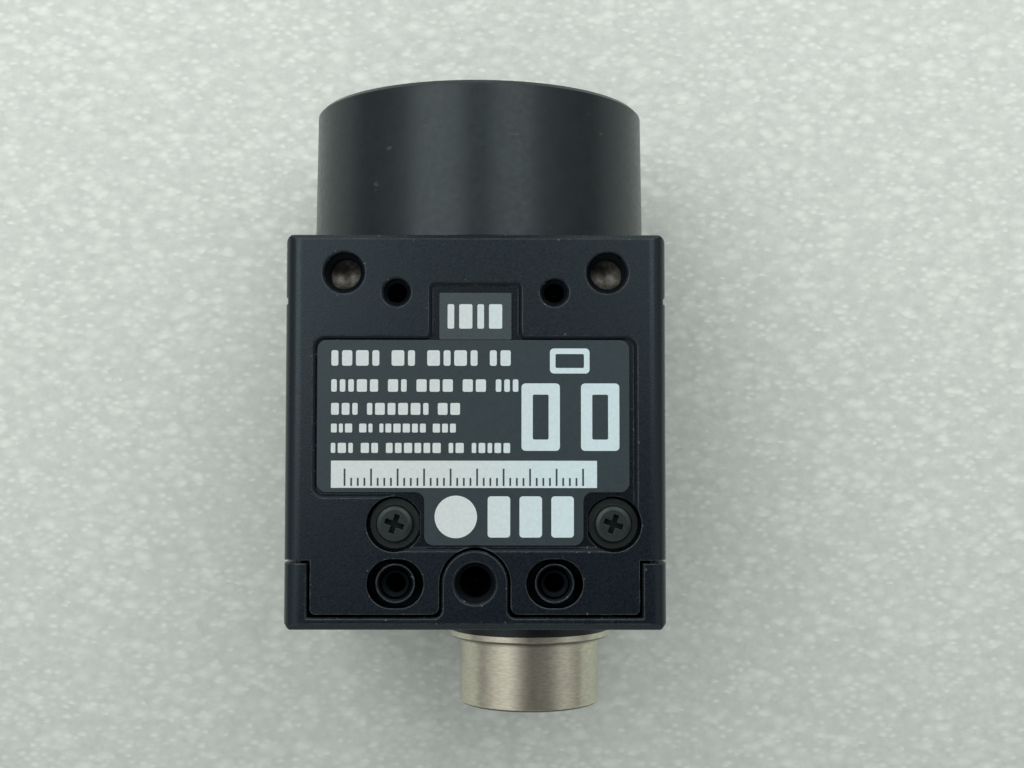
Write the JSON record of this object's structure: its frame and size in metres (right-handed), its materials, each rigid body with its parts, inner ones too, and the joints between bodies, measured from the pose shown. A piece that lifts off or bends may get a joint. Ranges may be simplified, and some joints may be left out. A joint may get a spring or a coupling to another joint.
{
  "type": "machine vision camera",
  "caption": "Small cube-format machine vision camera with a threaded lens mount under a push-on dust cap, a tapped mounting face and a round multi-contact connector.",
  "frame": {"origin": "centre of the lens mount's flange, on the optical axis", "axes": "+Y out of the lens mount, +Z out of the mounting face, +X to the right seen from above the mounting face"},
  "size_m": [0.029, 0.0497, 0.029],
  "materials": {
    "black_paint": "fine-textured matte blue-black paint on light alloy casting",
    "black_ring": "satin black machined alloy",
    "cap_plastic": "smooth satin black moulded plastic",
    "label_film": "matte dark grey polyester label",
    "date_film": "matte grey polyester label",
    "black_screw": "blackened steel",
    "nickel": "satin nickel plate",
    "filter": "clear coated filter glass",
    "black_mould": "matte black moulding",
    "seal_rubber": "soft black rubber",
    "ceramic": "dark alumina package",
    "window": "clear window glass",
    "die": "polished silicon with a fine iridescent sheen",
    "board": "solder-masked laminate",
    "sheet": "plain satin sheet",
    "brass_nickel": "bright plated brass",
    "contacts": "gold-plated brass",
    "switch_body": "dark blue moulding",
    "white_mould": "white moulding",
    "black_switch": "black moulding"
  },
  "bodies": {
    "camera": {"chassis": "black_paint", "top_cover": "black_paint", "rear_panel": "black_paint", "lens_mount_ring": "black_ring", "rating_label": "label_film", "date_label": "date_film", "plate_screw_1": "black_screw", "plate_screw_2": "black_screw", "filter_glass": "filter", "filter_retainer": "black_ring", "optical_chamber": "black_mould", "dust_seal": "seal_rubber", "sensor_package": "ceramic", "sensor_window": "window", "sensor_die": "die", "sensor_board": "board", "signal_board": "board", "io_board": "board", "board_frame": "sheet", "connector_ring": "black_mould", "connector_shell": "nickel", "connector_insert": "black_mould", "contact_pins": "contacts", "connector_nut": "nickel", "dip_housing": "switch_body", "trimmer_body": "switch_body", "sync_switch_body": "black_switch", "termination_switch_body": "black_switch", "board_spacer_1": "brass_nickel", "board_spacer_2": "brass_nickel", "board_spacer_3": "brass_nickel", "board_spacer_4": "brass_nickel", "rear_spacer_1": "brass_nickel", "rear_screw_1": "black_screw", "rear_spacer_2": "brass_nickel", "rear_screw_2": "black_screw", "rear_spacer_3": "brass_nickel", "rear_screw_3": "black_screw"},
    "dust_cap": {"dust_cap": "cap_plastic"},
    "trimmer_rotor": {"trimmer_rotor": "white_mould"},
    "sync_knob": {"sync_switch_knob": "white_mould"},
    "termination_knob": {"termination_switch_knob": "white_mould"},
    "dip_lever_1": {"dip_slider_1": "white_mould"},
    "dip_lever_2": {"dip_slider_2": "white_mould"},
    "dip_lever_3": {"dip_slider_3": "white_mould"},
    "dip_lever_4": {"dip_slider_4": "white_mould"},
    "dip_lever_5": {"dip_slider_5": "white_mould"},
    "dip_lever_6": {"dip_slider_6": "white_mould"},
    "dip_lever_7": {"dip_slider_7": "white_mould"},
    "dip_lever_8": {"dip_slider_8": "white_mould"},
    "dip_lever_9": {"dip_slider_9": "white_mould"},
    "dip_lever_10": {"dip_slider_10": "white_mould"}
  },
  "joints": [
    {"name": "cap_pull", "type": "slide", "parent": "camera", "child": "dust_cap", "axis": [0, 1, 0], "range_m": [0, 0.04]},
    {"name": "gain_turn", "type": "hinge", "parent": "camera", "child": "trimmer_rotor", "pos_m": [-0.0096, -0.0322, 0.00741], "axis": [0, -1, 0], "range_deg": [-135, 135]},
    {"name": "sync_slide", "type": "slide", "parent": "camera", "child": "sync_knob", "axis": [1, 0, 0], "range_m": [0, 0.0016]},
    {"name": "termination_slide", "type": "slide", "parent": "camera", "child": "termination_knob", "axis": [1, 0, 0], "range_m": [0, 0.0016]},
    {"name": "dip_slide_1", "type": "slide", "parent": "camera", "child": "dip_lever_1", "axis": [1, 0, 0], "range_m": [0, 0.001]},
    {"name": "dip_slide_2", "type": "slide", "parent": "camera", "child": "dip_lever_2", "axis": [1, 0, 0], "range_m": [0, 0.001]},
    {"name": "dip_slide_3", "type": "slide", "parent": "camera", "child": "dip_lever_3", "axis": [1, 0, 0], "range_m": [0, 0.001]},
    {"name": "dip_slide_4", "type": "slide", "parent": "camera", "child": "dip_lever_4", "axis": [1, 0, 0], "range_m": [0, 0.001]},
    {"name": "dip_slide_5", "type": "slide", "parent": "camera", "child": "dip_lever_5", "axis": [1, 0, 0], "range_m": [0, 0.001]},
    {"name": "dip_slide_6", "type": "slide", "parent": "camera", "child": "dip_lever_6", "axis": [1, 0, 0], "range_m": [0, 0.001]},
    {"name": "dip_slide_7", "type": "slide", "parent": "camera", "child": "dip_lever_7", "axis": [1, 0, 0], "range_m": [0, 0.001]},
    {"name": "dip_slide_8", "type": "slide", "parent": "camera", "child": "dip_lever_8", "axis": [1, 0, 0], "range_m": [0, 0.001]},
    {"name": "dip_slide_9", "type": "slide", "parent": "camera", "child": "dip_lever_9", "axis": [1, 0, 0], "range_m": [0, 0.001]},
    {"name": "dip_slide_10", "type": "slide", "parent": "camera", "child": "dip_lever_10", "axis": [1, 0, 0], "range_m": [0, 0.001]}
  ]
}
